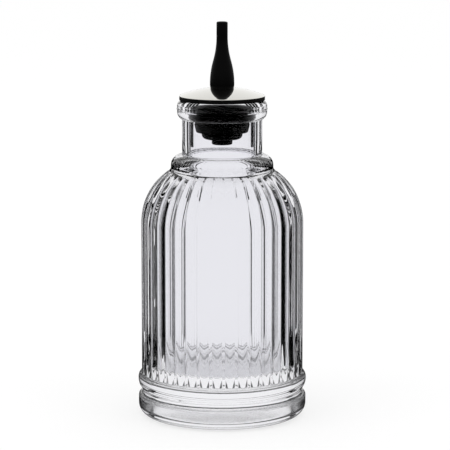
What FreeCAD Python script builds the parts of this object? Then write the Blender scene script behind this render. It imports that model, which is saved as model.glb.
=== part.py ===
import FreeCAD, Part
import math
import os

# Small reeded glass bottle with a push-in dasher stopper.
# The bottle's axis is Z, its foot stands on Z = 0. All sizes are millimetres.

# Bottle, from the foot up
foot_r = 26.6            # outside radius of the foot
foot_h = 6.6             # foot, from the table to its top edge
foot_edge_round = 0.7    # rounding of the foot's top edge
heel_round = 3.7         # rounding between foot and table
hollow_r = 19.0          # radius of the shallow hollow under the base
hollow_h = 1.2           # depth of that hollow
groove_h = 1.9           # height of the groove above the foot
groove_depth = 1.2       # depth of the groove, from the foot's radius
ring_r = 26.65           # outside radius of the base ring
ring_h = 5.2             # height of the base ring
ring_low_round = 2.9     # height of the ring's lower rounding
ring_top_round = 1.8     # height of the ring's upper rounding
crest_r = 25.6           # radius over the reeds
reed_count = 40          # reeds around the body
reed_depth = 0.42        # how deep the valleys lie under the crests
reed_turn = 1.2          # degrees from +X to the first valley
reed_h = 47.8            # straight height of the reeds above the ring
shoulder_round = 19.5    # radius of the shoulder's arc
shoulder_steps = 8       # sections along the shoulder's arc
collar_r = 16.1          # outside radius of the collar bead
collar_h = 4.7           # height of the collar bead above the shoulder
collar_round = 3.2       # rounding of the collar's top
neck_r = 12.55           # outside radius of the neck
neck_h = 11.2            # neck, from the collar to the lip
lip_r = 14.1             # outside radius of the lip bead
lip_h = 6.0              # height of the lip bead
lip_low_round = 2.4      # height of the lip's lower rounding
lip_top_round = 1.8      # rounding of the lip's top edge
seam_h = 0.5             # height of the mould seam around the lip
seam_rise = 0.12         # how far the seam stands out
bore_r = 10.65           # radius of the neck's bore
mouth_round = 0.8        # rounding of the bore's upper edge
wall = 3.8               # glass wall at a crest
floor_h = 15.7           # inside floor above the table
floor_round = 1.2        # rounding between floor and wall
throat_round = 2.0       # rounding where the bore meets the shoulder

# Stopper
lip_gap = 0.05           # gasket above the lip
gasket_h = 1.0           # thickness of the gasket
gasket_inset = 0.03      # gasket's edge inside the plate's edge
seal_gap = 0.05          # radial play of the sealing lip in the bore
seal_h = 1.4             # height of the sealing lip around the second fin's top
fin_r = 9.45             # radius of the top fin
fin_h = 2.8              # height of one fin
fin_pitch = 3.6          # from one fin to the next
fin_count = 3            # fins on the bung
fin_step = 0.37          # each fin is this much smaller than the one above
fin_taper = 0.5          # a fin's lower edge is this much smaller than its upper edge
fin_round = 0.4          # rounding of a fin's edges
fin_depth = 1.4          # valley between two fins, from the top fin's radius
waist_h = 0.5            # waist between the lowest fin and the tail
waist_r = 5.0            # radius of that waist
tail_h = 1.7             # bowl-shaped tail under the waist
tail_r = 6.4             # radius of that tail
tail_round = 1.5         # rounding of the tail's lower edge

# Dasher top
face_gap = 0.05          # play between turning faces
turn_gap = 0.05          # radial play of the shank in what it runs through
plate_r = 13.45          # outside radius of the cover plate
plate_edge = 0.3         # straight edge of the cover plate
dome_h = 2.6             # rise of the plate's dome above its edge
spout_h = 20.68          # spout, from its seat to its tip
spout_foot_r = 3.65      # radius where the spout stands on the plate
spout_belly_r = 3.82     # largest radius of the spout
spout_belly_h = 1.3      # height of that radius above the seat
spout_tip_r = 1.76       # radius of the slim end
spout_tip_h = 4.7        # straight length of the slim end
spout_tip_round = 0.45   # rounding of the tip's edge
spout_bore_r = 0.95      # radius of the bore
shank_r = 2.3            # radius of the shank
thread_gap = 0.03        # play of the nut on the shank
nut_r = 3.25             # radius of the nut
nut_h = 1.8              # height of the nut
nut_round = 0.5          # rounding of the nut's lower edge
insert_r = 1.6           # radius of the drip insert
insert_h = 3.0           # length of the drip insert
insert_gap = 0.02        # play of the insert in the shank
drip_r = 0.45            # radius of the insert's fine hole

# Levels and radii that follow from the sizes above
ring_z = foot_h + groove_h
reed_z = ring_z + ring_h
shoulder_z = reed_z + reed_h
shoulder_cr = crest_r - shoulder_round
collar_z = shoulder_z + math.sqrt(shoulder_round**2 - (collar_r - shoulder_cr)**2)
neck_z = collar_z + collar_h
lip_z = neck_z + neck_h
rim_z = lip_z + lip_h
root_r = crest_r - reed_depth
groove_r = foot_r - groove_depth
inside_r = crest_r - wall
inside_round = shoulder_round - wall

gasket_z = rim_z + lip_gap
gasket_r = plate_r - gasket_inset
seal_r = bore_r - seal_gap
bung_bore_r = shank_r + turn_gap
fins_end_z = gasket_z - (fin_count - 1) * fin_pitch - fin_h
bung_bottom_z = fins_end_z - waist_h - tail_h
plate_z = gasket_z + gasket_h + face_gap
dome_r = (plate_r**2 + dome_h**2) / (2 * dome_h)
dome_cz = plate_z + plate_edge + dome_h - dome_r
seat_z = dome_cz + math.sqrt(dome_r**2 - spout_foot_r**2)
tip_z = seat_z + spout_h
nut_top_z = bung_bottom_z - face_gap
shank_end_z = nut_top_z - nut_h


def at(r, z):
    """Point of a turned outline."""
    return FreeCAD.Vector(r, 0, z)


def path(*points):
    """Straight edges through the points."""
    return [Part.LineSegment(a, b).toShape() for a, b in zip(points, points[1:])]


def arc(centre, start, end):
    """Short arc about the centre."""
    spread = (start - centre) + (end - centre)
    middle = centre + spread.normalize() * (start - centre).Length
    return Part.Arc(start, middle, end).toShape()


def swell(inner, outer):
    """Arc that leaves the outer point upright and ends at the inner point."""
    reach = outer.x - inner.x
    rise = outer.z - inner.z
    radius = (reach**2 + rise**2) / (2 * reach)
    return arc(at(outer.x - radius, outer.z), inner, outer)


def turned(edges):
    """Solid of a closed outline turned about Z."""
    outline = Part.Wire(Part.__sortEdges__(edges))
    return Part.Face(outline).revolve(FreeCAD.Vector(), FreeCAD.Vector(0, 0, 1), 360)


def ring(inner_r, outer_r, z, height):
    """Plain turned ring."""
    low_in, low_out = at(inner_r, z), at(outer_r, z)
    top_out, top_in = at(outer_r, z + height), at(inner_r, z + height)
    return turned(path(low_in, low_out, top_out, top_in, low_in))


def reed_outline(radius, z):
    """Closed wire of reeds whose crests lie at the radius."""
    valley = radius * root_r / crest_r
    half = 180.0 / reed_count
    arcs = []
    for k in range(reed_count):
        points = []
        for r, step in ((valley, 0), (radius, 1), (valley, 2)):
            turn = math.radians(reed_turn + (2 * k + step) * half)
            points.append(FreeCAD.Vector(r * math.cos(turn), r * math.sin(turn), z))
        arcs.append(Part.Arc(*points).toShape())
    return Part.Wire(arcs)


def bottle_base():
    """Foot, groove and base ring, with the hollow below."""
    hollow_round = (hollow_r**2 + hollow_h**2) / (2 * hollow_h)
    heel = at(foot_r - heel_round, heel_round)
    foot_edge = at(foot_r - foot_edge_round, foot_h - foot_edge_round)
    ring_low = at(ring_r, ring_z + ring_low_round)
    ring_top = at(ring_r, reed_z - ring_top_round)
    edges = [arc(at(0, hollow_h - hollow_round), at(0, hollow_h), at(hollow_r, 0))]
    edges += path(at(hollow_r, 0), at(heel.x, 0))
    edges += [arc(heel, at(heel.x, 0), at(foot_r, heel.z))]
    edges += path(at(foot_r, heel.z), at(foot_r, foot_edge.z))
    edges += [arc(foot_edge, at(foot_r, foot_edge.z), at(foot_edge.x, foot_h))]
    edges += path(at(foot_edge.x, foot_h), at(groove_r, foot_h), at(groove_r, ring_z))
    edges += [swell(at(groove_r, ring_z), ring_low)]
    edges += path(ring_low, ring_top)
    edges += [swell(at(root_r, reed_z), ring_top)]
    edges += path(at(root_r, reed_z), at(0, reed_z), at(0, hollow_h))
    return turned(edges)


def bottle_body():
    """Straight reeds, rooted in the base ring."""
    root_z = ring_z + ring_low_round
    return Part.Face(reed_outline(crest_r, root_z)).extrude(FreeCAD.Vector(0, 0, shoulder_z - root_z))


def bottle_shoulder():
    """Reeds that bend in along the shoulder and run out inside the collar."""
    end_r = (collar_r + neck_r) / 2
    end_turn = math.acos((end_r - shoulder_cr) / shoulder_round)
    sections = []
    for k in range(shoulder_steps + 1):
        turn = end_turn * k / shoulder_steps
        radius = shoulder_cr + shoulder_round * math.cos(turn)
        sections.append(reed_outline(radius, shoulder_z + shoulder_round * math.sin(turn)))
    return Part.makeLoft(sections, True, False)


def bottle_top():
    """Collar bead, neck and lip bead, rooted in the shoulder."""
    root_z = collar_z - reed_depth - wall / 2
    collar = at(collar_r - collar_round, neck_z - collar_round)
    lip_low = at(lip_r, lip_z + lip_low_round)
    lip_top = at(lip_r - lip_top_round, rim_z - lip_top_round)
    seam_z = (lip_low.z + lip_top.z) / 2
    seam_low, seam_top = at(lip_r, seam_z - seam_h / 2), at(lip_r, seam_z + seam_h / 2)
    edges = path(at(0, root_z), at(collar_r, root_z), at(collar_r, collar.z))
    edges += [arc(collar, at(collar_r, collar.z), at(collar.x, neck_z))]
    edges += path(at(collar.x, neck_z), at(neck_r, neck_z), at(neck_r, lip_z))
    edges += [swell(at(neck_r, lip_z), lip_low)]
    edges += path(lip_low, seam_low)
    edges += [Part.Arc(seam_low, at(lip_r + seam_rise, seam_z), seam_top).toShape()]
    edges += path(seam_top, at(lip_r, lip_top.z))
    edges += [arc(lip_top, at(lip_r, lip_top.z), at(lip_top.x, rim_z))]
    edges += path(at(lip_top.x, rim_z), at(0, rim_z), at(0, root_z))
    return turned(edges)


def bottle_inside():
    """Space inside the bottle, from the rounded floor to the mouth."""
    corner = at(inside_r - floor_round, floor_h + floor_round)
    centre = at(shoulder_cr, shoulder_z)
    throat_reach = bore_r + throat_round - shoulder_cr
    throat_rise = math.sqrt((inside_round + throat_round)**2 - throat_reach**2)
    throat = at(bore_r + throat_round, shoulder_z + throat_rise)
    meet = centre + (throat - centre).normalize() * inside_round
    mouth = at(bore_r + mouth_round, rim_z - mouth_round)
    edges = path(at(0, floor_h), at(corner.x, floor_h))
    edges += [arc(corner, at(corner.x, floor_h), at(inside_r, corner.z))]
    edges += path(at(inside_r, corner.z), at(inside_r, shoulder_z))
    edges += [arc(centre, at(inside_r, shoulder_z), meet)]
    edges += [arc(throat, meet, at(bore_r, throat.z))]
    edges += path(at(bore_r, throat.z), at(bore_r, mouth.z))
    edges += [arc(mouth, at(bore_r, mouth.z), at(mouth.x, rim_z))]
    edges += path(at(mouth.x, rim_z), at(0, rim_z), at(0, floor_h))
    return turned(edges)


def glass_bottle():
    """The glass casting, in one piece."""
    outside = bottle_base().multiFuse([bottle_body(), bottle_shoulder(), bottle_top()])
    return outside.cut(bottle_inside())


def lip_gasket():
    """Flat washer between the glass lip and the cover plate."""
    return ring(bung_bore_r, gasket_r, gasket_z, gasket_h)


def bung_fin(radius, z, height):
    """One rounded fin of the bung, slimmer at its lower edge, with its top at z."""
    low_r = radius - fin_taper
    upper = at(radius - fin_round, z - fin_round)
    lower = at(low_r - fin_round, z - height + fin_round)
    edges = path(at(bung_bore_r, z - height), at(lower.x, z - height))
    edges += [arc(lower, at(lower.x, z - height), at(low_r, lower.z))]
    edges += path(at(low_r, lower.z), at(radius, upper.z))
    edges += [arc(upper, at(radius, upper.z), at(upper.x, z))]
    edges += path(at(upper.x, z), at(bung_bore_r, z), at(bung_bore_r, z - height))
    return turned(edges)


def stopper_bung():
    """Rubber plug with fins, a sealing lip, a bowl-shaped tail and a bore for the shank."""
    tail_top_z = bung_bottom_z + tail_h
    tail = at(tail_r - tail_round, bung_bottom_z + tail_round)
    edges = path(at(bung_bore_r, bung_bottom_z), at(tail.x, bung_bottom_z))
    edges += [arc(tail, at(tail.x, bung_bottom_z), at(tail_r, tail.z))]
    edges += path(at(tail_r, tail.z), at(tail_r, tail_top_z), at(waist_r, tail_top_z), at(waist_r, fins_end_z))
    edges += path(at(waist_r, fins_end_z), at(bung_bore_r, fins_end_z), at(bung_bore_r, bung_bottom_z))
    core = ring(bung_bore_r, fin_r - fin_depth, fins_end_z + fin_h / 2, gasket_z - fins_end_z - fin_h / 2)
    seal = bung_fin(seal_r, gasket_z - fin_pitch, seal_h)
    fins = [bung_fin(fin_r - k * fin_step, gasket_z - k * fin_pitch, fin_h) for k in range(fin_count)]
    return turned(edges).multiFuse([core, seal] + fins).removeSplitter()


def cover_plate():
    """Domed plate with a flat seat for the spout."""
    hole_r = shank_r + turn_gap
    edge_z = plate_z + plate_edge
    edges = path(at(hole_r, plate_z), at(plate_r, plate_z), at(plate_r, edge_z))
    edges += [arc(at(0, dome_cz), at(plate_r, edge_z), at(spout_foot_r, seat_z))]
    edges += path(at(spout_foot_r, seat_z), at(hole_r, seat_z), at(hole_r, plate_z))
    return turned(edges)


def dasher_spout():
    """Bored spout that slims down to its tip, with the shank below."""
    belly = at(spout_belly_r, seat_z + spout_belly_h)
    slim = at(spout_tip_r, tip_z - spout_tip_h)
    middle = (belly + slim) * 0.5
    tip = at(spout_tip_r - spout_tip_round, tip_z - spout_tip_round)
    pocket_r = insert_r + insert_gap
    pocket_z = shank_end_z + insert_h
    taper_r = ((belly.x - slim.x)**2 + (slim.z - belly.z)**2) / (4 * (belly.x - slim.x))
    edges = path(at(pocket_r, shank_end_z), at(shank_r, shank_end_z), at(shank_r, seat_z), at(spout_foot_r, seat_z))
    edges += [swell(at(spout_foot_r, seat_z), belly)]
    edges += [swell(middle, belly)]
    edges += [arc(at(slim.x + taper_r, slim.z), middle, slim)]
    edges += path(slim, at(slim.x, tip.z))
    edges += [arc(tip, at(slim.x, tip.z), at(tip.x, tip_z))]
    edges += path(at(tip.x, tip_z), at(spout_bore_r, tip_z), at(spout_bore_r, pocket_z))
    edges += path(at(spout_bore_r, pocket_z), at(pocket_r, pocket_z), at(pocket_r, shank_end_z))
    return turned(edges)


def shank_nut():
    """Round nut that holds the bung on the shank."""
    hole_r = shank_r + thread_gap
    corner = at(nut_r - nut_round, shank_end_z + nut_round)
    edges = path(at(hole_r, shank_end_z), at(corner.x, shank_end_z))
    edges += [arc(corner, at(corner.x, shank_end_z), at(nut_r, corner.z))]
    edges += path(at(nut_r, corner.z), at(nut_r, nut_top_z), at(hole_r, nut_top_z), at(hole_r, shank_end_z))
    return turned(edges)


def drip_insert():
    """Small plug in the shank's end whose fine hole lets drops through."""
    return ring(drip_r, insert_r, shank_end_z, insert_h)


os.makedirs("parts", exist_ok=True)
for piece in (glass_bottle, lip_gasket, stopper_bung, cover_plate, dasher_spout, shank_nut, drip_insert):
    shape = piece()
    solid = shape.Solids[0]
    solid.exportStep("parts/" + piece.__name__ + ".step")
    print(piece.__name__, len(shape.Solids), solid.isValid(), round(solid.Volume), solid.BoundBox)
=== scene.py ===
import math

import bmesh
import bpy
from bpy.props import FloatProperty, FloatVectorProperty, IntProperty, PointerProperty
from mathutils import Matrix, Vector


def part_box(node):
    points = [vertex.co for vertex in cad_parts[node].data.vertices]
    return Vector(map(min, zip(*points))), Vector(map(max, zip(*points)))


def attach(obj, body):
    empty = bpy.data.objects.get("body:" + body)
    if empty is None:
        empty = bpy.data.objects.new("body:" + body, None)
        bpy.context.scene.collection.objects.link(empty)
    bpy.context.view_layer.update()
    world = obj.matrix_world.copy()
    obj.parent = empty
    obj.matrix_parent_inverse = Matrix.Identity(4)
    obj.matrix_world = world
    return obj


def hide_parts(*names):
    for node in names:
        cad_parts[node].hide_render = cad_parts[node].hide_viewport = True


bl_info = {
    "name": "Dash bottle",
    "version": (1, 0, 0),
    "blender": (4, 5, 0),
    "location": "3D View > Sidebar > Dash bottle",
    "description": "Reeded glass dash bottle with a push-in dasher stopper, on a white studio stage",
    "category": "Add Mesh",
}

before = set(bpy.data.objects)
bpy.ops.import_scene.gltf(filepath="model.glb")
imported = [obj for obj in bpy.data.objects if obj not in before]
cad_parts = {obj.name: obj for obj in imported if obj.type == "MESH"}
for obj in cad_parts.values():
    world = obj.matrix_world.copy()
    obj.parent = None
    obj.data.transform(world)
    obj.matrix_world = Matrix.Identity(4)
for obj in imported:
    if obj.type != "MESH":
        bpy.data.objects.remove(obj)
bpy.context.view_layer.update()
MM = 0.001
WELD = 0.0005 * MM
BLACK = (0, 0, 0, 1)
WHITE = (1, 1, 1, 1)


def length(mm, name, description):
    """Length property, given in millimetres."""
    return FloatProperty(name=name, description=description, default=mm * MM, unit="LENGTH")


def angle(degrees, name, description):
    """Angle property, given in degrees."""
    return FloatProperty(name=name, description=description, default=math.radians(degrees), subtype="ANGLE")


def count(whole, name, description):
    """Whole number property."""
    return IntProperty(name=name, description=description, default=whole, min=1)


def number(value, name, description):
    """Plain number property, not below zero."""
    return FloatProperty(name=name, description=description, default=value, min=0.0)


def linear(code):
    """Linear colour of an sRGB hex value."""
    parts = [int(code[k:k + 2], 16) / 255 for k in (1, 3, 5)]
    return [p / 12.92 if p <= 0.04045 else ((p + 0.055) / 1.055)**2.4 for p in parts]


def colour(code, name, description):
    """Colour property, given as an sRGB hex value."""
    return FloatVectorProperty(name=name, description=description, default=linear(code), size=3,
                               subtype="COLOR", min=0.0, max=1.0)


class BottleSizes(bpy.types.PropertyGroup):
    """Sizes of the glass bottle, from the foot up."""

    foot_r: length(26.6, "Foot radius", "Outside radius of the foot")
    foot_h: length(6.6, "Foot height", "From the table to the foot's top edge")
    foot_edge_round: length(0.7, "Foot edge", "Rounding of the foot's top edge")
    heel_round: length(3.7, "Heel", "Rounding between foot and table")
    hollow_r: length(19.0, "Hollow radius", "Radius of the shallow hollow under the base")
    hollow_h: length(1.2, "Hollow depth", "Depth of the hollow under the base")
    groove_h: length(1.9, "Groove height", "Height of the groove above the foot")
    groove_depth: length(1.2, "Groove depth", "Depth of the groove, from the foot's radius")
    groove_fillet: length(0.3, "Groove fillet", "Soft corners at the groove's root")
    ring_r: length(26.65, "Ring radius", "Outside radius of the base ring")
    ring_h: length(5.2, "Ring height", "Height of the base ring")
    ring_low_round: length(2.9, "Ring lower rounding", "Height of the ring's lower rounding")
    ring_top_round: length(1.8, "Ring upper rounding", "Height of the ring's upper rounding")
    crest_r: length(25.6, "Reed crest radius", "Radius over the reeds")
    reed_count: count(40, "Reeds", "Reeds around the body")
    reed_columns: count(12, "Reed columns", "Mesh columns across one reed")
    reed_depth: length(0.42, "Reed depth", "How deep the valleys lie under the crests")
    reed_turn: angle(1.2, "Reed turn", "Angle from +X to the first valley")
    reed_h: length(47.8, "Reed height", "Straight height of the reeds above the ring")
    shoulder_round: length(19.5, "Shoulder", "Radius of the shoulder's arc")
    collar_r: length(16.1, "Collar radius", "Outside radius of the collar bead")
    collar_h: length(4.7, "Collar height", "Height of the collar bead above the shoulder")
    collar_round: length(3.2, "Collar rounding", "Rounding of the collar's top")
    collar_fillet: length(1.6, "Collar fillet", "Hollow rounding between the shoulder and the collar")
    neck_r: length(12.55, "Neck radius", "Outside radius of the neck")
    neck_h: length(11.2, "Neck height", "From the collar to the lip")
    neck_fillet: length(0.35, "Neck fillet", "Soft corner where the neck meets the collar")
    lip_r: length(14.1, "Lip radius", "Outside radius of the lip bead")
    lip_h: length(6.0, "Lip height", "Height of the lip bead")
    lip_low_round: length(2.4, "Lip lower rounding", "Height of the lip's lower rounding")
    lip_top_round: length(1.8, "Lip upper rounding", "Rounding of the lip's top edge")
    seam_h: length(0.5, "Seam height", "Height of the mould seam around the lip")
    seam_rise: length(0.12, "Seam rise", "How far the seam stands out")
    bore_r: length(10.65, "Bore radius", "Radius of the neck's bore")
    mouth_round: length(0.8, "Mouth", "Rounding of the bore's upper edge")
    wall: length(3.8, "Wall", "Glass wall at a crest")
    floor_h: length(15.7, "Floor height", "Inside floor above the table")
    floor_round: length(1.2, "Floor rounding", "Rounding between floor and wall")
    throat_round: length(2.0, "Throat", "Rounding where the bore meets the shoulder")


class StopperSizes(bpy.types.PropertyGroup):
    """Sizes of the stopper and the dasher top. Levels and outer radii come from the CAD parts."""

    columns: count(128, "Columns", "Mesh columns around a turned piece")
    edge_round: length(0.12, "Edge rounding", "Rounding of the gasket's and insert's edges")
    fin_r: length(9.45, "Fin radius", "Radius of the top fin")
    fin_h: length(2.8, "Fin height", "Height of one fin")
    fin_pitch: length(3.6, "Fin pitch", "From one fin to the next")
    fin_count: count(3, "Fins", "Fins on the bung")
    fin_step: length(0.37, "Fin step", "Each fin is this much smaller than the one above")
    fin_taper: length(0.5, "Fin taper", "A fin's lower edge is this much smaller than its upper edge")
    fin_round: length(0.4, "Fin rounding", "Rounding of a fin's edges")
    fin_depth: length(1.4, "Fin depth", "Valley between two fins, from the top fin's radius")
    seal_h: length(1.4, "Sealing lip", "Height of the sealing lip around the second fin's top")
    waist_r: length(5.0, "Waist radius", "Radius of the waist between the lowest fin and the tail")
    tail_h: length(1.7, "Tail height", "Height of the bowl-shaped tail under the waist")
    tail_r: length(6.4, "Tail radius", "Radius of the bowl-shaped tail")
    tail_round: length(1.5, "Tail rounding", "Rounding of the tail's lower edge")
    plate_edge: length(0.3, "Plate edge", "Straight edge of the cover plate")
    plate_break: length(0.08, "Plate edge break", "Broken corners of the plate's edge")
    dome_h: length(2.6, "Dome rise", "Rise of the plate's dome above its edge")
    spout_foot_r: length(3.65, "Spout foot radius", "Radius where the spout stands on the plate")
    spout_belly_r: length(3.82, "Spout belly radius", "Largest radius of the spout")
    spout_belly_h: length(1.3, "Spout belly height", "Height of the largest radius above the seat")
    spout_h: length(20.68, "Spout height", "From the spout's seat to its tip")
    spout_tip_r: length(1.76, "Spout tip radius", "Radius of the slim end")
    spout_tip_h: length(4.7, "Spout tip length", "Straight length of the slim end")
    spout_tip_round: length(0.45, "Spout tip rounding", "Rounding of the tip's edge")
    spout_bore_r: length(0.95, "Spout bore", "Radius of the bore")
    shank_r: length(2.3, "Shank radius", "Radius of the shank")
    turn_gap: length(0.05, "Shank play", "Radial play of the shank in what it runs through")
    thread_gap: length(0.03, "Thread play", "Play of the nut on the shank")
    nut_round: length(0.5, "Nut rounding", "Rounding of the nut's lower edge")
    insert_gap: length(0.02, "Insert play", "Play of the drip insert in the shank")
    drip_r: length(0.45, "Drip hole", "Radius of the insert's fine hole")


class FinishColours(bpy.types.PropertyGroup):
    """Colours of the finishes."""

    glass: colour("#F2F2F5", "Glass", "Faint cool cast of the clear glass")
    rubber: colour("#040404", "Rubber", "Moulded black rubber")
    steel: colour("#ECEBE5", "Steel", "Mirror polished plate")
    coat: colour("#030303", "Black coat", "Black coat of spout and nut")
    plastic: colour("#141415", "Plastic", "Black plastic of the drip insert")
    floor: colour("#FDFDFD", "Floor", "Pale studio floor")


class StageSettings(bpy.types.PropertyGroup):
    """Camera and studio around the bottle."""

    camera_distance: length(700.0, "Camera distance", "From the bottle's axis to the camera")
    camera_height: length(177.0, "Camera height", "Camera above the table")
    camera_side: length(0.9, "Camera side step", "Camera to the right of the axis")
    camera_pitch: angle(9.45, "Camera pitch", "How far the camera looks down")
    camera_lens: number(179.8, "Lens", "Focal length in millimetres")
    # The flags, neck flags and vanes are dark planes seen only in glass and metal: painted dark reflections.
    flag_distance: length(80.0, "Flag distance", "From the axis to the dark flags")
    flag_height: length(94.0, "Flag height", "Height of the dark flags")
    flag_inner: angle(28.0, "Flag start", "Angle from the view axis to a flag's inner edge")
    flag_outer: angle(36.0, "Flag end", "Angle from the view axis to a flag's outer edge")
    neck_flag_inner: angle(19.5, "Neck flag start", "Angle from the view axis to a neck flag's inner edge")
    neck_flag_low: length(69.0, "Neck flag bottom", "Lower edge of the flags that only the neck shows")
    vane_count: count(4, "Vanes", "Dark vanes on each side, edge on to the axis")
    vane_first: angle(57.0, "First vane", "Angle from the view axis to the first vane")
    vane_turn: angle(12.0, "Vane turn", "Angle from one vane to the next")
    vane_start: length(41.0, "Vane start", "From the axis to a vane's inner edge")
    vane_depth: length(70.0, "Vane depth", "From a vane's inner edge to its outer edge")
    # Painted dark reflection: from this distance in front of the bottle, glass and metal see the floor black;
    # the camera sees it white to the end.
    painted_dark_front_start: length(620.0, "Table front", "From the axis to the front edge of the white table")
    floor_size: length(6000.0, "Floor size", "Side of the floor")
    floor_gap: length(0.2, "Floor gap", "Floor under the foot, so that the faces stay apart")
    floor_glow: number(0.7, "Floor glow", "Share of the floor's white that is its own light")
    key_power: number(2.0, "Key lamp", "Watts of the soft lamp at the upper left")
    fill_power: number(1.0, "Fill lamp", "Watts of the soft lamp at the right")


# Outlines: points in the turning plane

def on(r, z):
    """Point of a turned outline."""
    return Vector((r, 0.0, z))


def arc(centre, start, end, steps):
    """Points of the short arc about the centre, without its start."""
    first = math.atan2(start.z - centre.z, start.x - centre.x)
    sweep = math.atan2(end.z - centre.z, end.x - centre.x) - first
    sweep = (sweep + math.pi) % (2 * math.pi) - math.pi
    radius = (start - centre).length
    turns = [first + sweep * k / steps for k in range(1, steps + 1)]
    return [on(centre.x + radius * math.cos(t), centre.z + radius * math.sin(t)) for t in turns]


def swell(inner, outer, steps):
    """Points of the arc from inner to outer that is upright at outer, without its start."""
    reach = outer.x - inner.x
    rise = outer.z - inner.z
    radius = (reach**2 + rise**2) / (2 * reach)
    return arc(on(outer.x - radius, outer.z), inner, outer, steps)


def swell_back(outer, inner, steps):
    """The same arc run from outer to inner, without its start."""
    return swell(inner, outer, steps)[-2::-1] + [inner]


def run(start, end, steps):
    """Points of a straight run, without its start."""
    return [start.lerp(end, k / steps) for k in range(1, steps + 1)]


def rounded_ring(inner_r, outer_r, low_z, high_z, edge):
    """Closed outline of a plain ring whose outer edges are rounded."""
    low = on(outer_r - edge, low_z + edge)
    high = on(outer_r - edge, high_z - edge)
    points = [on(inner_r, low_z), on(low.x, low_z)]
    points += arc(low, points[-1], on(outer_r, low.z), 4)
    points += [on(outer_r, high.z)]
    points += arc(high, points[-1], on(high.x, high_z), 4)
    return points + [on(inner_r, high_z), points[0]]


# Modelling helpers

def begin_piece(name):
    """New mesh of one vertex at the origin, in edit mode."""
    bpy.ops.object.select_all(action="DESELECT")
    bpy.ops.mesh.primitive_plane_add(size=MM, location=(0, 0, 0))
    piece = bpy.context.active_object
    piece.name = name
    piece.data.name = name
    bpy.ops.object.mode_set(mode="EDIT")
    bpy.ops.mesh.select_mode(type="VERT")
    bpy.ops.mesh.select_all(action="SELECT")
    bpy.ops.mesh.merge(type="CENTER")
    return piece


def draw(points, turn):
    """Extrudes the lone vertex along the points, in a plane turned about Z."""
    placed = [Vector((p.x * math.cos(turn), p.x * math.sin(turn), p.z)) for p in points]
    bpy.ops.transform.translate(value=placed[0])
    for start, end in zip(placed, placed[1:]):
        bpy.ops.mesh.extrude_region_move(TRANSFORM_OT_translate={"value": end - start})


def spin(columns):
    """Turns the drawn outline about Z and closes its seam and poles."""
    bpy.ops.mesh.select_all(action="SELECT")
    bpy.ops.mesh.spin(steps=columns, angle=2 * math.pi, center=(0, 0, 0), axis=(0, 0, 1))
    bpy.ops.mesh.select_all(action="SELECT")
    bpy.ops.mesh.remove_doubles(threshold=WELD)
    bpy.ops.mesh.normals_make_consistent(inside=False)


def end_piece(sharp_angle):
    """Back to object mode, shaded smooth up to the angle in degrees."""
    bpy.ops.object.mode_set(mode="OBJECT")
    bpy.ops.object.shade_smooth_by_angle(angle=math.radians(sharp_angle))


def turned(name, points, columns):
    """Piece of an outline turned about Z. A closed outline ends on its first point."""
    piece = begin_piece(name)
    draw(points, 0.0)
    spin(columns)
    end_piece(sharp_angle=35.0)
    return piece


def fit(piece, node, body, material):
    """Puts the finished piece in the place of its CAD node."""
    piece.data.materials.append(material)
    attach(piece, body)
    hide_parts(node)


# Finishes

def add_node(tree, kind, values=(), links=(), **settings):
    """Node with its settings, socket values and incoming links."""
    node = tree.nodes.new(kind)
    for key, value in settings.items():
        setattr(node, key, value)
    for socket, value in values:
        node.inputs[socket].default_value = value
    for socket, source in links:
        tree.links.new(source, node.inputs[socket])
    return node


def ramp(tree, value, start, end, first, last):
    """Level that runs from first to last while the value goes from start to end."""
    node = add_node(tree, "ShaderNodeMapRange",
                    [("From Min", start), ("From Max", end), ("To Min", first), ("To Max", last)],
                    [("Value", value)])
    return node.outputs["Result"]


def new_material(name):
    """Empty node material, its tree and its output node."""
    material = bpy.data.materials.new(name)
    material.use_nodes = True
    material.node_tree.nodes.clear()
    output = add_node(material.node_tree, "ShaderNodeOutputMaterial")
    return material, material.node_tree, output


def clear_glass():
    """Pressed soda-lime glass, fire polished: clear, with the slow waves of a moulded wall.
    The face that stands on the table is stippled by the mould. Surface reflections are kept weak."""
    material, tree, output = new_material("clear_soda_lime_glass")
    tint = bpy.context.scene.dash_colours.glass
    wave_mm = 9.0
    wave_height_mm = 0.02
    stipple_top_mm = 1.3
    stipple_fade_mm = 0.1
    stipple_roughness = 0.16
    refraction = 1.52
    reflection = 0.08
    place = add_node(tree, "ShaderNodeTexCoord")
    spot = add_node(tree, "ShaderNodeSeparateXYZ", (), [("Vector", place.outputs["Object"])])
    roughness = ramp(tree, spot.outputs["Z"], (stipple_top_mm - stipple_fade_mm) * MM, stipple_top_mm * MM,
                     stipple_roughness, 0.0)
    waves = add_node(tree, "ShaderNodeTexNoise", [("Scale", 1 / (wave_mm * MM)), ("Detail", 1.0)],
                     [("Vector", place.outputs["Object"])])
    bump = add_node(tree, "ShaderNodeBump", [("Strength", 1.0), ("Distance", wave_height_mm * MM)],
                    [("Height", waves.outputs["Fac"])])
    shader = add_node(tree, "ShaderNodeBsdfPrincipled",
                      [("Base Color", (*tint, 1)), ("IOR", refraction), ("Transmission Weight", 1.0),
                       ("Specular Tint", (reflection, reflection, reflection, 1))],
                      [("Roughness", roughness), ("Normal", bump.outputs["Normal"])])
    tree.links.new(shader.outputs["BSDF"], output.inputs["Surface"])
    return material


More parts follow.
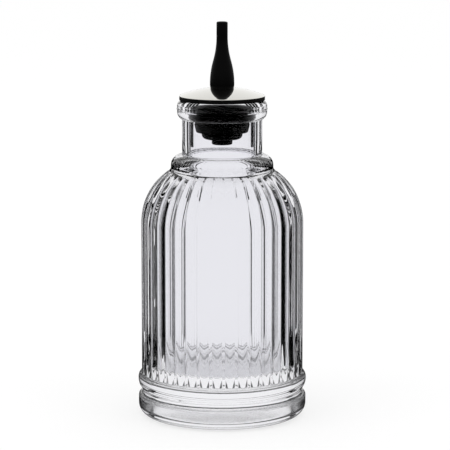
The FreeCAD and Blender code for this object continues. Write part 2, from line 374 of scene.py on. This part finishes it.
def mirror_steel():
    """Stainless steel, turned and mirror polished: faint buffing rings are left around the middle."""
    material, tree, output = new_material("mirror_polished_steel")
    tone = bpy.context.scene.dash_colours.steel
    ring_mm = 0.8
    radians_per_unit = 20
    roughness_low = 0.03
    roughness_high = 0.07
    scale = math.tau / radians_per_unit / (ring_mm * MM)
    place = add_node(tree, "ShaderNodeTexCoord")
    rings = add_node(tree, "ShaderNodeTexWave", [("Scale", scale), ("Distortion", 0.6)],
                     [("Vector", place.outputs["Object"])], wave_type="RINGS", rings_direction="Z")
    roughness = ramp(tree, rings.outputs["Fac"], 0.0, 1.0, roughness_low, roughness_high)
    shader = add_node(tree, "ShaderNodeBsdfPrincipled", [("Base Color", (*tone, 1)), ("Metallic", 1.0)],
                      [("Roughness", roughness)])
    tree.links.new(shader.outputs["BSDF"], output.inputs["Surface"])
    return material


def grained_black(name, tone, roughness_low, roughness_high, grain_mm, height_mm, specular):
    """Black surface whose fine grain breaks up its gloss."""
    material, tree, output = new_material(name)
    place = add_node(tree, "ShaderNodeTexCoord")
    grain = add_node(tree, "ShaderNodeTexNoise", [("Scale", 1 / (grain_mm * MM)), ("Detail", 3.0)],
                     [("Vector", place.outputs["Object"])])
    roughness = ramp(tree, grain.outputs["Fac"], 0.0, 1.0, roughness_low, roughness_high)
    bump = add_node(tree, "ShaderNodeBump", [("Strength", 0.6), ("Distance", height_mm * MM)],
                    [("Height", grain.outputs["Fac"])])
    shader = add_node(tree, "ShaderNodeBsdfPrincipled",
                      [("Base Color", (*tone, 1)), ("Specular IOR Level", specular)],
                      [("Roughness", roughness), ("Normal", bump.outputs["Normal"])])
    tree.links.new(shader.outputs["BSDF"], output.inputs["Surface"])
    return material


def black_rubber():
    """Moulded nitrile rubber: the mould's fine blast grain leaves it satin."""
    return grained_black("moulded_black_rubber", bpy.context.scene.dash_colours.rubber,
                         roughness_low=0.5, roughness_high=0.7, grain_mm=0.5, height_mm=0.003, specular=0.06)


def black_coat():
    """Black lacquer on turned metal: smooth, with the slight orange peel of a sprayed coat."""
    return grained_black("black_lacquered_metal", bpy.context.scene.dash_colours.coat,
                         roughness_low=0.28, roughness_high=0.4, grain_mm=0.6, height_mm=0.004, specular=0.04)


def black_plastic():
    """Moulded acetal: even and slightly waxy."""
    return grained_black("moulded_black_acetal", bpy.context.scene.dash_colours.plastic,
                         roughness_low=0.4, roughness_high=0.55, grain_mm=0.2, height_mm=0.004, specular=0.3)


def finish(maker):
    """The maker's material, made once."""
    made = finish.__dict__
    if maker.__name__ not in made:
        made[maker.__name__] = maker()
    return made[maker.__name__]


# The bottle

def bottle_levels(s):
    """Heights and radii that follow from the bottle's sizes."""
    levels = {"ring": s.foot_h + s.groove_h}
    levels["reed"] = levels["ring"] + s.ring_h
    levels["shoulder"] = levels["reed"] + s.reed_h
    levels["shoulder_cr"] = s.crest_r - s.shoulder_round
    reach = s.collar_r - levels["shoulder_cr"]
    levels["collar"] = levels["shoulder"] + math.sqrt(s.shoulder_round**2 - reach**2)
    levels["neck"] = levels["collar"] + s.collar_h
    levels["lip"] = levels["neck"] + s.neck_h
    levels["rim"] = levels["lip"] + s.lip_h
    fillet_reach = reach + s.collar_fillet
    fillet_rise = math.sqrt((s.shoulder_round + s.collar_fillet)**2 - fillet_reach**2)
    levels["fillet"] = levels["shoulder"] + fillet_rise
    return levels


def reed_end(s, levels):
    """Point on a crest where the shoulder runs into the collar's fillet."""
    centre = on(levels["shoulder_cr"], levels["shoulder"])
    fillet = on(s.collar_r + s.collar_fillet, levels["fillet"])
    return centre + (fillet - centre).normalized() * s.shoulder_round


def base_outline(s, levels):
    """Underside, foot, groove and base ring, from the middle of the underside to the reeds."""
    groove_r = s.foot_r - s.groove_depth
    hollow_round = (s.hollow_r**2 + s.hollow_h**2) / (2 * s.hollow_h)
    heel = on(s.foot_r - s.heel_round, s.heel_round)
    edge = on(s.foot_r - s.foot_edge_round, s.foot_h - s.foot_edge_round)
    root = on(groove_r + s.groove_fillet, s.foot_h + s.groove_fillet)
    ring_low = on(s.ring_r, levels["ring"] + s.ring_low_round)
    ring_top = on(s.ring_r, levels["reed"] - s.ring_top_round)
    ring_end = on(s.crest_r - s.reed_depth, levels["reed"])
    points = [on(0, s.hollow_h)]
    points += arc(on(0, s.hollow_h - hollow_round), points[-1], on(s.hollow_r, 0), 8)
    points += [on(heel.x, 0)]
    points += arc(heel, points[-1], on(s.foot_r, heel.z), 10)
    points += [on(s.foot_r, edge.z)]
    points += arc(edge, points[-1], on(edge.x, s.foot_h), 5)
    points += [on(root.x, s.foot_h)]
    points += arc(root, points[-1], on(groove_r, root.z), 3)
    points += [on(groove_r, levels["ring"])]
    points += swell(points[-1], ring_low, 8)
    points += [ring_top]
    points += [p for p in swell_back(ring_top, ring_end, 10) if p.x > s.crest_r]
    return points


def crest_outline(s, levels):
    """Crest of a reed, from the base ring over the shoulder to the collar's fillet."""
    points = [on(s.crest_r, levels["reed"])]
    points += run(points[-1], on(s.crest_r, levels["shoulder"]), 3)
    points += arc(on(levels["shoulder_cr"], levels["shoulder"]), points[-1], reed_end(s, levels), 26)
    return points


def top_outline(s, levels):
    """Collar, neck and lip, from the collar's fillet to the top of the lip."""
    hollow = on(s.collar_r + s.collar_fillet, levels["fillet"])
    collar = on(s.collar_r - s.collar_round, levels["neck"] - s.collar_round)
    fillet = on(s.neck_r + s.neck_fillet, levels["neck"] + s.neck_fillet)
    lip_low = on(s.lip_r, levels["lip"] + s.lip_low_round)
    lip_top = on(s.lip_r - s.lip_top_round, levels["rim"] - s.lip_top_round)
    seam_z = (lip_low.z + lip_top.z) / 2
    seam_round = (s.seam_h**2 / 4 + s.seam_rise**2) / (2 * s.seam_rise)
    seam = on(s.lip_r + s.seam_rise - seam_round, seam_z)
    points = arc(hollow, reed_end(s, levels), on(s.collar_r, hollow.z), 7)
    points += [on(s.collar_r, collar.z)]
    points += arc(collar, points[-1], on(collar.x, levels["neck"]), 10)
    points += arc(fillet, on(fillet.x, levels["neck"]), on(s.neck_r, fillet.z), 4)
    points += run(points[-1], on(s.neck_r, levels["lip"]), 2)
    points += swell(points[-1], lip_low, 9)
    points += [on(s.lip_r, seam_z - s.seam_h / 2)]
    points += arc(seam, points[-1], on(s.lip_r, seam_z + s.seam_h / 2), 6)
    points += [on(s.lip_r, lip_top.z)]
    points += arc(lip_top, points[-1], on(lip_top.x, levels["rim"]), 9)
    return points


def inside_outline(s, levels):
    """Inside of the bottle, from the mouth down to the middle of the floor."""
    inside_r = s.crest_r - s.wall
    inside_round = s.shoulder_round - s.wall
    mouth = on(s.bore_r + s.mouth_round, levels["rim"] - s.mouth_round)
    centre = on(levels["shoulder_cr"], levels["shoulder"])
    throat_r = s.bore_r + s.throat_round
    throat_rise = math.sqrt((inside_round + s.throat_round)**2 - (throat_r - centre.x)**2)
    throat = on(throat_r, centre.z + throat_rise)
    meet = centre + (throat - centre).normalized() * inside_round
    corner = on(inside_r - s.floor_round, s.floor_h + s.floor_round)
    points = [on(mouth.x, levels["rim"])]
    points += arc(mouth, points[-1], on(s.bore_r, mouth.z), 6)
    points += run(points[-1], on(s.bore_r, throat.z), 3)
    points += arc(throat, points[-1], meet, 8)
    points += arc(centre, points[-1], on(inside_r, levels["shoulder"]), 20)
    points += run(points[-1], on(inside_r, corner.z), 3)
    points += arc(corner, points[-1], on(corner.x, s.floor_h), 10)
    points += run(points[-1], on(0, s.floor_h), 5)
    return points


def reed_share(s, column):
    """Radius of a reed at one of its columns, as a share of its crest's."""
    half = math.pi / s.reed_count
    root_r = s.crest_r - s.reed_depth
    chord = root_r * math.sin(half)
    rise = s.crest_r - root_r * math.cos(half)
    reed_round = (chord**2 + rise**2) / (2 * rise)
    centre = s.crest_r - reed_round
    turn = half * (2 * column / s.reed_columns - 1)
    return (centre * math.cos(turn) + math.sqrt(reed_round**2 - (centre * math.sin(turn))**2)) / s.crest_r


def press_reeds(piece, s, levels):
    """Draws the columns of every reed in towards the axis, most in the valleys, not at the crests.
    The last ring of points under the collar is drawn in by a part of that only."""
    columns = s.reed_count * s.reed_columns
    end = reed_end(s, levels)
    fade_length = 1.0 * MM
    fade = 1 / 3
    low_z = levels["reed"] - WELD
    half_wall = s.wall / 2
    centre = on(levels["shoulder_cr"], levels["shoulder"])

    def reeded(vertex):
        r, z = vertex.co.xy.length, vertex.co.z
        if z > centre.z:
            return z < end.z - WELD and (on(r, z) - centre).length > s.shoulder_round - half_wall
        return z > low_z and r > s.crest_r - half_wall

    groups = {}
    mesh = bmesh.from_edit_mesh(piece.data)
    for vertex in filter(reeded, mesh.verts):
        turn = math.atan2(vertex.co.y, vertex.co.x) - s.reed_turn
        column = round(turn * columns / math.tau) % s.reed_columns
        faded = (on(vertex.co.xy.length, vertex.co.z) - end).length < fade_length
        groups.setdefault((min(column, s.reed_columns - column), faded), []).append(vertex.index)
    for (column, faded), members in groups.items():
        bpy.ops.mesh.select_all(action="DESELECT")
        mesh = bmesh.from_edit_mesh(piece.data)
        mesh.verts.ensure_lookup_table()
        for index in members:
            mesh.verts[index].select = True
        bmesh.update_edit_mesh(piece.data)
        share = reed_share(s, column)
        if faded:
            share = 1 + (share - 1) * fade
        bpy.ops.transform.resize(value=(share, share, 1), center_override=(0, 0, 0))


class DASH_OT_glass_bottle(bpy.types.Operator):
    """Glass bottle: foot, base ring, reeds, shoulder, collar, neck, lip and the space inside"""

    bl_idname = "dash.glass_bottle"
    bl_label = "Glass bottle"

    def execute(self, context):
        s = context.scene.dash_bottle
        levels = bottle_levels(s)
        piece = begin_piece("reeded_bottle")
        outline = base_outline(s, levels)
        outline += crest_outline(s, levels)
        outline += top_outline(s, levels)
        outline += inside_outline(s, levels)
        draw(outline, s.reed_turn)
        spin(s.reed_count * s.reed_columns)
        press_reeds(piece, s, levels)
        end_piece(sharp_angle=50.0)
        fit(piece, "glass_bottle", "bottle", finish(clear_glass))
        return {"FINISHED"}


# The stopper

def fin_outline(s, radius, top_z, height):
    """Outline of one rounded fin, from its slimmer lower edge up to its top."""
    low_r = radius - s.fin_taper
    lower = on(low_r - s.fin_round, top_z - height + s.fin_round)
    upper = on(radius - s.fin_round, top_z - s.fin_round)
    points = [on(lower.x, top_z - height)]
    points += arc(lower, points[-1], on(low_r, lower.z), 6)
    points += [on(radius, upper.z)]
    return points + arc(upper, points[-1], on(upper.x, top_z), 6)


def bung_outline(s, low, high):
    """Closed outline of the bung: tail, fins from the lowest up, and the bore.
    The sealing lip runs around the top of the second fin."""
    seal_fin = 1
    bore_r = s.shank_r + s.turn_gap
    core_r = s.fin_r - s.fin_depth
    tail = on(s.tail_r - s.tail_round, low.z + s.tail_round)
    fins_end = high.z - (s.fin_count - 1) * s.fin_pitch - s.fin_h
    tail_top = low.z + s.tail_h
    points = [on(bore_r, low.z), on(tail.x, low.z)]
    points += arc(tail, points[-1], on(s.tail_r, tail.z), 8)
    points += [on(s.tail_r, tail_top), on(s.waist_r, tail_top), on(s.waist_r, fins_end)]
    for k in reversed(range(s.fin_count)):
        top_z = high.z - k * s.fin_pitch
        fin = fin_outline(s, s.fin_r - k * s.fin_step, top_z, s.fin_h)
        if k == seal_fin:
            seal_z = top_z - s.seal_h
            fin = [p for p in fin if p.z < seal_z]
            fin += [on(fin[-1].x, seal_z)] + fin_outline(s, high.x, top_z, s.seal_h)
        points += fin
        if k > 0:
            points += [on(core_r, top_z), on(core_r, top_z + s.fin_pitch - s.fin_h)]
    return points + [on(bore_r, high.z), points[0]]


class DASH_OT_rubber_stopper(bpy.types.Operator):
    """Rubber bung with its fins and sealing lip, and the gasket on the glass lip"""

    bl_idname = "dash.rubber_stopper"
    bl_label = "Rubber stopper"

    def execute(self, context):
        s = context.scene.dash_stopper
        low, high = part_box("stopper_bung")
        bung = turned("finned_bung", bung_outline(s, low, high), s.columns)
        fit(bung, "stopper_bung", "stopper", finish(black_rubber))
        low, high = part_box("lip_gasket")
        outline = rounded_ring(s.shank_r + s.turn_gap, high.x, low.z, high.z, s.edge_round)
        gasket = turned("lip_washer", outline, s.columns)
        fit(gasket, "lip_gasket", "stopper", finish(black_rubber))
        return {"FINISHED"}


# The dasher top

def plate_outline(s, low, high):
    """Closed outline of the domed plate, with a flat seat for the spout."""
    hole_r = s.shank_r + s.turn_gap
    plate_r = high.x
    edge_z = low.z + s.plate_edge
    dome_r = (plate_r**2 + s.dome_h**2) / (2 * s.dome_h)
    centre = on(0, edge_z + s.dome_h - dome_r)
    rim_turn = math.atan2(edge_z - centre.z, plate_r) + s.plate_break / dome_r
    rim = on(dome_r * math.cos(rim_turn), centre.z + dome_r * math.sin(rim_turn))
    points = [on(hole_r, low.z), on(plate_r - s.plate_break, low.z), on(plate_r, low.z + s.plate_break)]
    points += [on(plate_r, edge_z - s.plate_break / 2), rim]
    points += arc(centre, rim, on(s.spout_foot_r, high.z), 20)
    return points + [on(hole_r, high.z), points[0]]


def spout_outline(s, low, high, insert_high):
    """Closed outline of the spout: pocket, shank, belly, taper, tip and bore."""
    seat_z = high.z - s.spout_h
    foot = on(s.spout_foot_r, seat_z)
    belly = on(s.spout_belly_r, seat_z + s.spout_belly_h)
    slim = on(s.spout_tip_r, high.z - s.spout_tip_h)
    middle = (belly + slim) / 2
    tip = on(slim.x - s.spout_tip_round, high.z - s.spout_tip_round)
    taper_r = ((belly.x - slim.x)**2 + (slim.z - belly.z)**2) / (4 * (belly.x - slim.x))
    pocket_r = insert_high.x + s.insert_gap
    points = [on(pocket_r, low.z), on(s.shank_r, low.z), on(s.shank_r, seat_z), foot]
    points += swell(foot, belly, 6)
    points += swell_back(belly, middle, 14)
    points += arc(on(slim.x + taper_r, slim.z), middle, slim, 14)
    points += [on(slim.x, tip.z)]
    points += arc(tip, points[-1], on(tip.x, high.z), 6)
    points += [on(s.spout_bore_r, high.z), on(s.spout_bore_r, insert_high.z)]
    return points + [on(pocket_r, insert_high.z), points[0]]


class DASH_OT_cover_plate(bpy.types.Operator):
    """Domed steel plate over the lip"""

    bl_idname = "dash.cover_plate"
    bl_label = "Cover plate"

    def execute(self, context):
        s = context.scene.dash_stopper
        low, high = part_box("cover_plate")
        plate = turned("domed_plate", plate_outline(s, low, high), s.columns)
        fit(plate, "cover_plate", "dasher", finish(mirror_steel))
        return {"FINISHED"}


class DASH_OT_dasher_spout(bpy.types.Operator):
    """Spout with its shank, the nut that holds it and the drip insert"""

    bl_idname = "dash.dasher_spout"
    bl_label = "Dasher spout"

    def execute(self, context):
        s = context.scene.dash_stopper
        low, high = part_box("dasher_spout")
        insert_low, insert_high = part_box("drip_insert")
        spout = turned("slim_spout", spout_outline(s, low, high, insert_high), s.columns)
        fit(spout, "dasher_spout", "dasher", finish(black_coat))
        outline = rounded_ring(s.drip_r, insert_high.x, insert_low.z, insert_high.z, s.edge_round)
        insert = turned("drip_plug", outline, s.columns)
        fit(insert, "drip_insert", "dasher", finish(black_plastic))
        low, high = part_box("shank_nut")
        outline = rounded_ring(s.shank_r + s.thread_gap, high.x, low.z, high.z, s.nut_round)
        nut = turned("round_nut", outline, s.columns)
        fit(nut, "shank_nut", "dasher", finish(black_coat))
        return {"FINISHED"}


# The stage

def stage_plane(name, size, location, rotation, material):
    """Plane that belongs to the stage."""
    bpy.ops.object.select_all(action="DESELECT")
    bpy.ops.mesh.primitive_plane_add(size=1, location=location, rotation=rotation, scale=(1, 1, 1))
    plane = bpy.context.active_object
    plane.name = name
    plane.scale = (*size, 1)
    plane.data.materials.append(material)
    return plane


def around(distance, turn, z):
    """Point at a distance from the axis, turned to the right from straight behind the bottle."""
    return (distance * math.sin(turn), distance * math.cos(turn), z)


def floor_paint(own_light):
    """Matt white floor with a share of light of its own, so that it stays white around a soft shadow. Painted
    dark reflection: polished faces show the whole floor black, while the camera and the glass see it white."""
    material, tree, output = new_material("white_studio_floor")
    tone = bpy.context.scene.dash_colours.floor
    rays = add_node(tree, "ShaderNodeLightPath")
    matt = add_node(tree, "ShaderNodeBsdfDiffuse", [("Color", (*tone, 1))])
    glow = add_node(tree, "ShaderNodeEmission", [("Color", WHITE), ("Strength", 1.0)])
    dark = add_node(tree, "ShaderNodeEmission", [("Color", BLACK), ("Strength", 0.0)])
    white = add_node(tree, "ShaderNodeMixShader", [("Fac", own_light)],
                     [(1, matt.outputs["BSDF"]), (2, glow.outputs["Emission"])])
    # Painted dark reflection: glossy rays see the floor black; camera and transmission rays see it white.
    painted_dark_reflection_mask = add_node(tree, "ShaderNodeMath", (),
                        [(0, rays.outputs["Is Glossy Ray"]), (1, rays.outputs["Is Transmission Ray"])],
                        operation="SUBTRACT", use_clamp=True)
    seen = add_node(tree, "ShaderNodeMixShader", (),
                    [("Fac", painted_dark_reflection_mask.outputs[0]), (1, white.outputs["Shader"]),
                     (2, dark.outputs["Emission"])])
    tree.links.new(seen.outputs["Shader"], output.inputs["Surface"])
    return material


def flag_cloth():
    """Black flag: takes no light. It is seen only in glass and metal, as a painted dark reflection."""
    material, tree, output = new_material("black_flag")
    dark = add_node(tree, "ShaderNodeEmission", [("Color", BLACK), ("Strength", 0.0)])
    tree.links.new(dark.outputs["Emission"], output.inputs["Surface"])
    return material


def white_world():
    """White surroundings, even for the camera and for the light they give. Painted reflection and refraction:
    metal and glass see them a little darker overhead, and what is seen through the glass is painted dark on
    the camera's side. Starts and ends are parts of a heading of length 1."""
    overhead_start = 0.1
    overhead_end = 0.85
    overhead_level = 0.78
    front_end = -0.4
    front_level = 0.04
    world = bpy.data.worlds.new("white_studio")
    bpy.context.scene.world = world
    world.use_nodes = True
    tree = world.node_tree
    tree.nodes.clear()
    rays = add_node(tree, "ShaderNodeLightPath")
    place = add_node(tree, "ShaderNodeTexCoord")
    heading = add_node(tree, "ShaderNodeSeparateXYZ", (), [("Vector", place.outputs["Generated"])])
    overhead = ramp(tree, heading.outputs["Z"], overhead_start, overhead_end, 1.0, overhead_level)
    behind = ramp(tree, heading.outputs["Y"], front_end, 0.0, front_level, 1.0)
    # Painted reflection: glossy rays see the sky darker overhead.
    mirror = add_node(tree, "ShaderNodeMix", [("A", 1.0)],
                      [("Factor", rays.outputs["Is Glossy Ray"]), ("B", overhead)])
    # Painted shade for rays through the glass: darker overhead and dark on the camera's side.
    studio = add_node(tree, "ShaderNodeMath", (), [(0, overhead), (1, behind)], operation="MULTIPLY")
    level = add_node(tree, "ShaderNodeMix", (),
                     [("Factor", rays.outputs["Is Transmission Ray"]), ("A", mirror.outputs["Result"]),
                      ("B", studio.outputs[0])])
    sky = add_node(tree, "ShaderNodeBackground", [("Color", WHITE)], [("Strength", level.outputs["Result"])])
    add_node(tree, "ShaderNodeOutputWorld", (), [("Surface", sky.outputs["Background"])])


class DASH_OT_studio_stage(bpy.types.Operator):
    """White floor and surroundings, dark flags and vanes for the glass, soft lamps and the camera"""

    bl_idname = "dash.studio_stage"
    bl_label = "Studio stage"

    def execute(self, context):
        s = context.scene.dash_stage
        context.scene.view_settings.view_transform = "Standard"
        white_world()
        size = (s.floor_size, s.floor_size)
        stage_plane("floor", size, (0, 0, -s.floor_gap), (0, 0, 0), floor_paint(s.floor_glow))
        self.flags(s)
        self.lamps(s)
        place = (s.camera_side, -s.camera_distance, s.camera_height)
        pitch = math.pi / 2 - s.camera_pitch
        bpy.ops.object.camera_add(location=place, rotation=(pitch, 0, 0))
        camera = context.active_object
        camera.data.lens = s.camera_lens
        context.scene.camera = camera
        return {"FINISHED"}

    def flags(self, s):
        """Narrow dark flags behind the bottle, dark vanes at its sides and a dark sheet on the floor in front
        of the bottle, all seen only in the glass and in the metal: painted dark reflections, which cast no
        shadow and are unseen by the camera and by matt faces."""
        cloth = flag_cloth()
        spans = (("flag", s.flag_inner, s.flag_outer, 0.0),
                 ("neck_flag", s.neck_flag_inner, s.flag_inner, s.neck_flag_low))
        for name, inner, outer, low_z in spans:
            middle = (inner + outer) / 2
            size = (2 * s.flag_distance * math.tan((outer - inner) / 2), s.flag_height - low_z)
            for turn in (-middle, middle):
                place = around(s.flag_distance, turn, low_z + size[1] / 2)
                self.dark_plane(name, size, place, (math.pi / 2, 0, -turn), cloth)
        reach = s.vane_start + s.vane_depth / 2
        for k in range(s.vane_count):
            for side in (-1, 1):
                turn = side * (s.vane_first + s.vane_turn * k)
                place = around(reach, turn, s.flag_height / 2)
                rotation = (math.pi / 2, 0, math.pi / 2 - turn)
                self.dark_plane("vane", (s.vane_depth, s.flag_height), place, rotation, cloth)
        # Painted dark reflection: a black sheet on the floor in front, seen only in glass and metal.
        depth = s.floor_size / 2 - s.painted_dark_front_start
        place = (0, -s.painted_dark_front_start - depth / 2, 0)
        self.dark_plane("painted_dark_front_sheet", (s.floor_size, depth), place, (0, 0, 0), cloth)

    def dark_plane(self, name, size, place, rotation, cloth):
        """Dark plane that only glass and metal show: a painted dark reflection."""
        plane = stage_plane(name, size, place, rotation, cloth)
        plane.visible_camera = False
        plane.visible_diffuse = False
        plane.visible_shadow = False

    def lamps(self, s):
        """Soft key lamp from the upper left and a weaker fill from the right."""
        self.soft_lamp("key_lamp", place_mm=(-700, -500, 1100), side_mm=700, watts=s.key_power)
        self.soft_lamp("fill_lamp", place_mm=(900, -600, 800), side_mm=600, watts=s.fill_power)

    def soft_lamp(self, name, place_mm, side_mm, watts):
        """Square lamp turned to the foot of the bottle, unseen in glass and metal."""
        place = Vector(place_mm) * MM
        bpy.ops.object.light_add(type="AREA", location=place)
        lamp = bpy.context.active_object
        lamp.name = name
        lamp.data.shape = "SQUARE"
        lamp.data.size = side_mm * MM
        lamp.data.energy = watts
        lamp.rotation_euler = (-place).to_track_quat("-Z", "Y").to_euler()
        lamp.visible_glossy = False
        lamp.visible_transmission = False


class DASH_PT_panel(bpy.types.Panel):
    """Pieces of the dash bottle"""

    bl_idname = "DASH_PT_panel"
    bl_label = "Dash bottle"
    bl_space_type = "VIEW_3D"
    bl_region_type = "UI"
    bl_category = "Dash bottle"

    def draw(self, context):
        for operator in OPERATORS:
            self.layout.operator(operator.bl_idname)
        for group, cls in GROUPS.items():
            settings = getattr(context.scene, group)
            box = self.layout.box()
            for key in cls.__annotations__:
                box.prop(settings, key)


OPERATORS = (DASH_OT_glass_bottle, DASH_OT_rubber_stopper, DASH_OT_cover_plate, DASH_OT_dasher_spout,
             DASH_OT_studio_stage)
GROUPS = {"dash_bottle": BottleSizes, "dash_stopper": StopperSizes, "dash_colours": FinishColours,
          "dash_stage": StageSettings}


def register():
    """Adds the sizes, colours, operators and the panel."""
    for cls in (*GROUPS.values(), *OPERATORS, DASH_PT_panel):
        bpy.utils.register_class(cls)
    for name, cls in GROUPS.items():
        setattr(bpy.types.Scene, name, PointerProperty(type=cls))


def unregister():
    """Takes them out again."""
    for name in GROUPS:
        delattr(bpy.types.Scene, name)
    for cls in (DASH_PT_panel, *OPERATORS, *GROUPS.values()):
        bpy.utils.unregister_class(cls)


def main():
    """Models every piece and the stage."""
    register()
    bpy.ops.dash.glass_bottle()
    bpy.ops.dash.rubber_stopper()
    bpy.ops.dash.cover_plate()
    bpy.ops.dash.dasher_spout()
    bpy.ops.dash.studio_stage()


if __name__ == "__main__":
    main()
